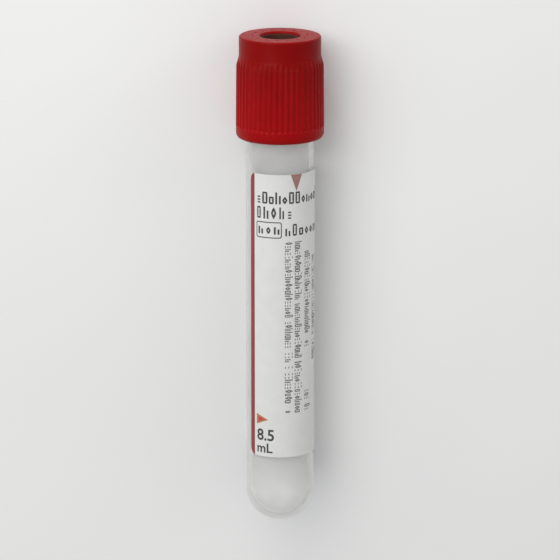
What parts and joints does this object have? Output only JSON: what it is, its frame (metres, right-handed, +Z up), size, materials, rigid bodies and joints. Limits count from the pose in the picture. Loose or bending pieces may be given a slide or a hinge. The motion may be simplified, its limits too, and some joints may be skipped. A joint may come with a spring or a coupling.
{
  "type": "blood collection tube",
  "caption": "Clear round-bottomed evacuated tube with a wrapped paper label and a ribbed red shield over a rubber stopper that pulls off along the tube.",
  "frame": {"origin": "middle of the lying tube's footprint, on the surface that it lies on", "axes": "+Z up; +Y along the tube towards the closure, which rises 1.51 degrees from the surface because the skirt of the shield is wider than the tube; +X across the tube, to the right of someone who reads the label"},
  "size_m": [0.0196, 0.1116, 0.0198],
  "materials": {
    "clear_plastic": "clear, glossy outside and faintly hazy inside",
    "label_paper": "off-white coated paper with dark grey and red print",
    "shield_plastic": "deep red moulded plastic, satin",
    "stopper_rubber": "dark brick-red rubber, matte"
  },
  "bodies": {
    "tube_and_label": {"tube": "clear_plastic", "label": "label_paper"},
    "closure": {"cap_shield": "shield_plastic", "rubber_stopper": "stopper_rubber"}
  },
  "joints": [
    {"name": "closure_pull", "type": "slide", "parent": "tube_and_label", "child": "closure", "axis": [0, 0.9997, 0.0263], "range_m": [0, 0.02]}
  ]
}
